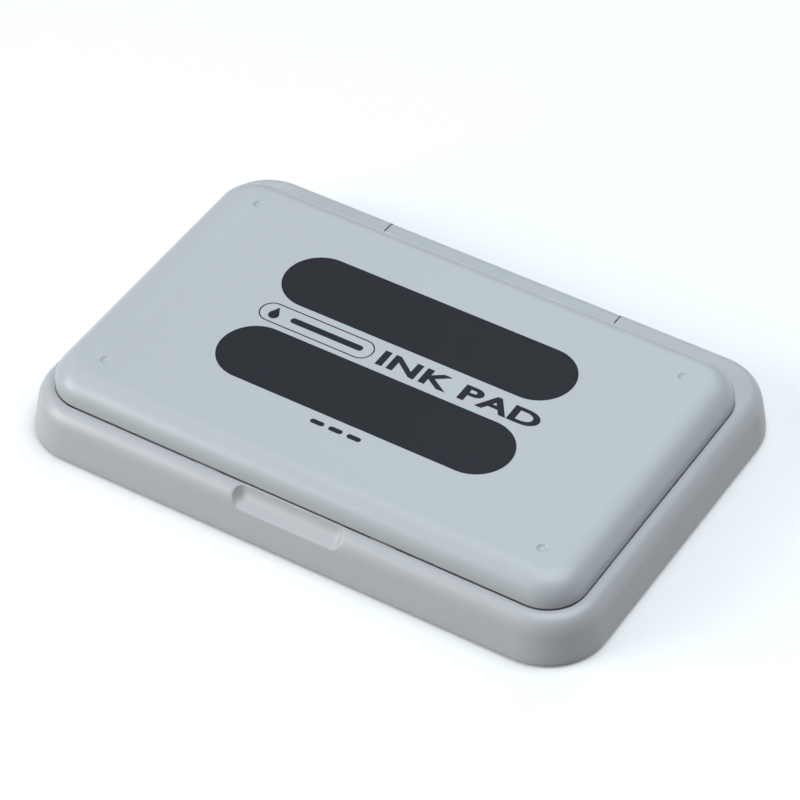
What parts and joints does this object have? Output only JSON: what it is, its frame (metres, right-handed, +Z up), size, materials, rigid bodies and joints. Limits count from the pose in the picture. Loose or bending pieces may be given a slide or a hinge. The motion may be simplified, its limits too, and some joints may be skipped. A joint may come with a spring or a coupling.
{
  "type": "ink pad",
  "caption": "Closed office stamp pad: shallow grey plastic case with rounded corners, a domed hinged lid, a finger notch in front and an inked cloth pad inside.",
  "frame": {"origin": "on the surface the pad stands on, under the middle of the case", "axes": "+X along the long side, to the right with the finger notch towards the viewer; +Y towards the hinge; +Z up"},
  "size_m": [0.142, 0.0966, 0.0193],
  "materials": {
    "case_plastic": "semi-gloss moulded ABS, cool grey",
    "lid_plastic": "semi-gloss moulded ABS, light cool grey, black printed panels",
    "inner_plastic": "satin moulded plastic",
    "pad_cloth": "fine plain-weave cotton soaked in black ink",
    "felt_inked": "dense wool felt, inked",
    "felt": "coarse reservoir felt, charged with ink",
    "pin_steel": "drawn steel wire"
  },
  "bodies": {
    "base": {"base_case": "case_plastic", "ink_tray": "inner_plastic", "reservoir_felt": "felt", "face_felt": "felt_inked", "pad_cloth": "pad_cloth", "pad_frame": "inner_plastic", "hinge_pin_left": "pin_steel", "hinge_pin_right": "pin_steel"},
    "lid": {"lid_shell": "lid_plastic"}
  },
  "joints": [
    {"name": "lid_hinge", "type": "hinge", "parent": "base", "child": "lid", "pos_m": [0, 0.0449, 0.00945], "axis": [-1, 0, 0], "range_deg": [0, 172]}
  ]
}
